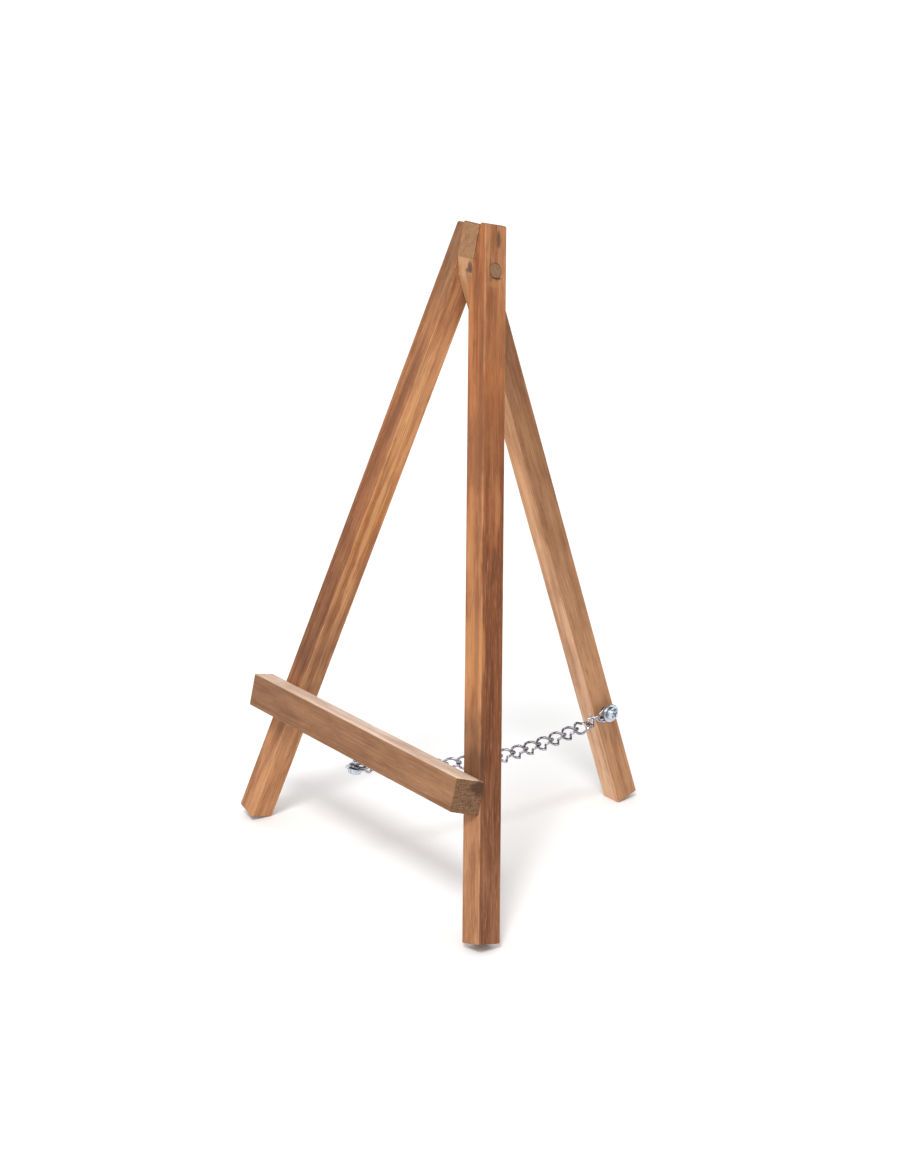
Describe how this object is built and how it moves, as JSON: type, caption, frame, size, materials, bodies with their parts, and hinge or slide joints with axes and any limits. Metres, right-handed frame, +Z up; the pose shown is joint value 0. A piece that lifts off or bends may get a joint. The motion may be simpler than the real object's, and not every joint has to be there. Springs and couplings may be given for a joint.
{
  "type": "tabletop easel",
  "caption": "Small wooden tripod easel: two splayed front legs with a ledge bar, and a rear leg that folds on a dowel and is stayed by a chain.",
  "frame": {"origin": "on the floor, midway between the feet from side to side and from front to back", "axes": "+X to the easel's right as it is seen from the front, +Y to the back, +Z up; the front, with the ledge, faces -Y"},
  "size_m": [0.2478, 0.2194, 0.3887],
  "materials": {
    "front_legs_wood": "satin, worn corners",
    "ledge_wood": "satin, fine grain",
    "rear_leg_wood": "satin, paler",
    "dowel_wood": "raw end grain",
    "zinc_plate": "bright zinc plate",
    "chain_plate": "bright nickel plate"
  },
  "bodies": {
    "front": {"front_leg_left": "front_legs_wood", "front_leg_right": "front_legs_wood", "ledge_bar": "ledge_wood", "ledge_peg_left": "dowel_wood", "ledge_peg_right": "dowel_wood", "pivot_dowel": "dowel_wood", "front_screw": "zinc_plate", "front_washer": "zinc_plate"},
    "rear": {"rear_leg": "rear_leg_wood", "rear_screw": "zinc_plate", "rear_washer": "zinc_plate", "chain_link_19": "chain_plate", "chain_link_20": "chain_plate"},
    "chain_front_end": {"chain_link_01": "chain_plate"},
    "chain_front": {"chain_link_02": "chain_plate", "chain_link_03": "chain_plate", "chain_link_04": "chain_plate", "chain_link_05": "chain_plate", "chain_link_06": "chain_plate", "chain_link_07": "chain_plate", "chain_link_08": "chain_plate", "chain_link_09": "chain_plate", "chain_link_10": "chain_plate"},
    "chain_rear": {"chain_link_11": "chain_plate", "chain_link_12": "chain_plate", "chain_link_13": "chain_plate", "chain_link_14": "chain_plate", "chain_link_15": "chain_plate", "chain_link_16": "chain_plate", "chain_link_17": "chain_plate", "chain_link_18": "chain_plate"}
  },
  "joints": [
    {"name": "fold", "type": "hinge", "parent": "front", "child": "rear", "pos_m": [0, -0.01747, 0.36249], "axis": [-1, 0, 0], "range_deg": [0, 31.4]},
    {"name": "chain_front_swing", "type": "hinge", "parent": "front", "child": "chain_front_end", "pos_m": [-0.0055, -0.10148, 0.07108], "axis": [0, 0.2284, 0.9736], "range_deg": [0, 90]},
    {"name": "chain_front_drop", "type": "hinge", "parent": "chain_front_end", "child": "chain_front", "pos_m": [-0.0045, -0.09158, 0.06858], "axis": [-0.9958, 0.0913, 0], "range_deg": [0, 88]},
    {"name": "chain_rear_drop", "type": "hinge", "parent": "rear", "child": "chain_rear", "pos_m": [0.01211, 0.06726, 0.06392], "axis": [0.9958, -0.0915, 0], "range_deg": [0, 84]}
  ],
  "couplings": [
    {"joint": "chain_front_swing", "follows": "fold", "ratio": 2.8657},
    {"joint": "chain_front_drop", "follows": "fold", "ratio": 2.802},
    {"joint": "chain_rear_drop", "follows": "fold", "ratio": 2.6747}
  ]
}
